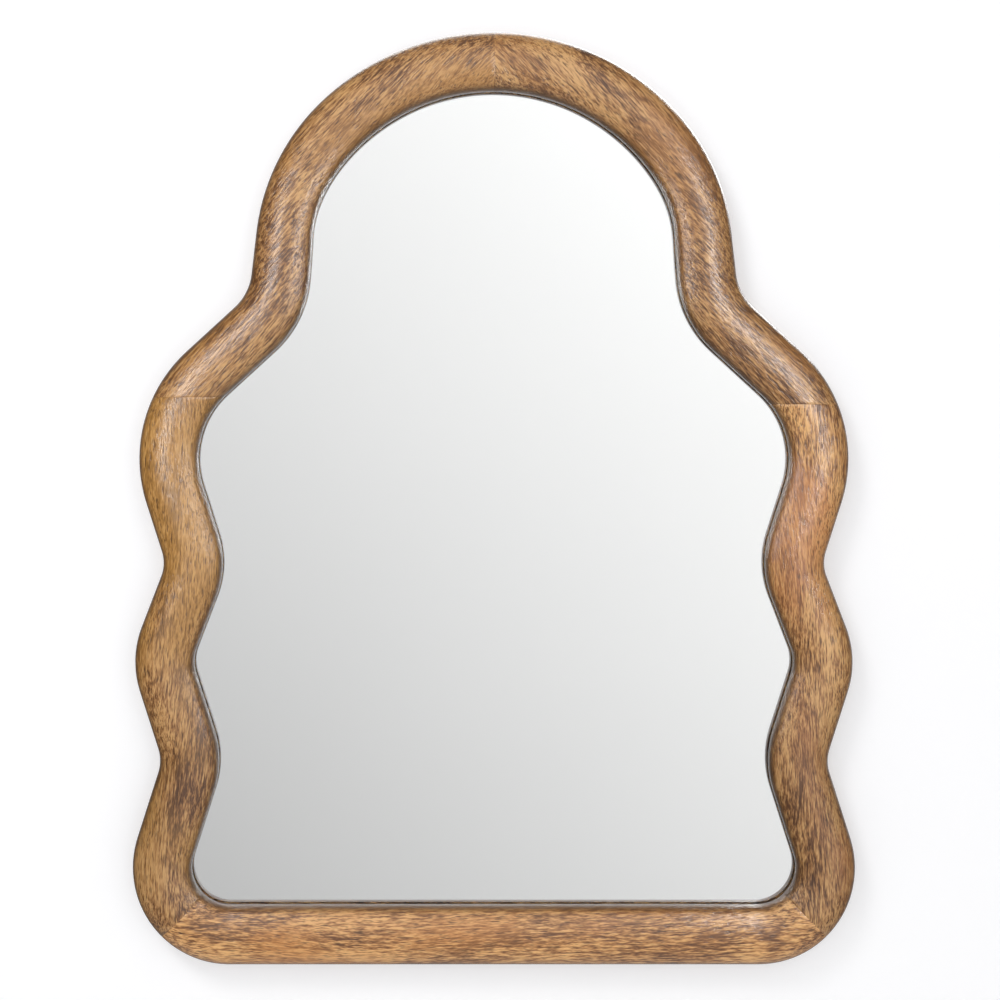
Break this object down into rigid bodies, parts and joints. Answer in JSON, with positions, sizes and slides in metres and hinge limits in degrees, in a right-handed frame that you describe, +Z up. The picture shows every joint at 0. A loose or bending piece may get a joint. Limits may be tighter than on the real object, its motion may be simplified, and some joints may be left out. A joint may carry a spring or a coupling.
{
  "type": "wall mirror",
  "caption": "Arched wall mirror with wavy sides in a round-fronted solid-wood frame, hung from D-rings on the back.",
  "frame": {"origin": "on the wall's surface, in the mirror's plane of symmetry, level with the lowest edge of the frame", "axes": "+X to the right as seen from the front, +Y into the wall, +Z up; the mirror faces -Y"},
  "size_m": [0.61, 0.035, 0.787],
  "materials": {
    "lacquered_wood": "gloss clear lacquer",
    "tenon_wood": "raw",
    "clear_glass": "polished",
    "silvering": "mirror",
    "foam": "matte",
    "fibreboard": "matte",
    "point_steel": "satin",
    "plated_steel": "satin nickel plate",
    "bumper_rubber": "matte"
  },
  "bodies": {
    "frame": {"bottom_rail": "lacquered_wood", "left_stile": "lacquered_wood", "right_stile": "lacquered_wood", "left_arch": "lacquered_wood", "right_arch": "lacquered_wood", "crown_tenon": "tenon_wood", "left_shoulder_tenon": "tenon_wood", "right_shoulder_tenon": "tenon_wood", "left_mitre_tenon": "tenon_wood", "right_mitre_tenon": "tenon_wood", "left_upper_bumper": "bumper_rubber", "right_upper_bumper": "bumper_rubber", "left_lower_bumper": "bumper_rubber", "right_lower_bumper": "bumper_rubber", "mirror_glass": "clear_glass", "silver_coat": "silvering", "foam_sheet": "foam", "back_board": "fibreboard", "board_points": "point_steel", "left_hanger_strap": "plated_steel", "right_hanger_strap": "plated_steel", "left_hanger_screw": "plated_steel", "right_hanger_screw": "plated_steel"},
    "left_ring": {"left_hanger_ring": "plated_steel"},
    "right_ring": {"right_hanger_ring": "plated_steel"}
  },
  "joints": [
    {"name": "left_ring_hinge", "type": "hinge", "parent": "frame", "child": "left_ring", "pos_m": [-0.186, -0.00267, 0.6], "axis": [1, 0, 0], "range_deg": [0, 176]},
    {"name": "right_ring_hinge", "type": "hinge", "parent": "frame", "child": "right_ring", "pos_m": [0.186, -0.00267, 0.6], "axis": [1, 0, 0], "range_deg": [0, 176]}
  ]
}
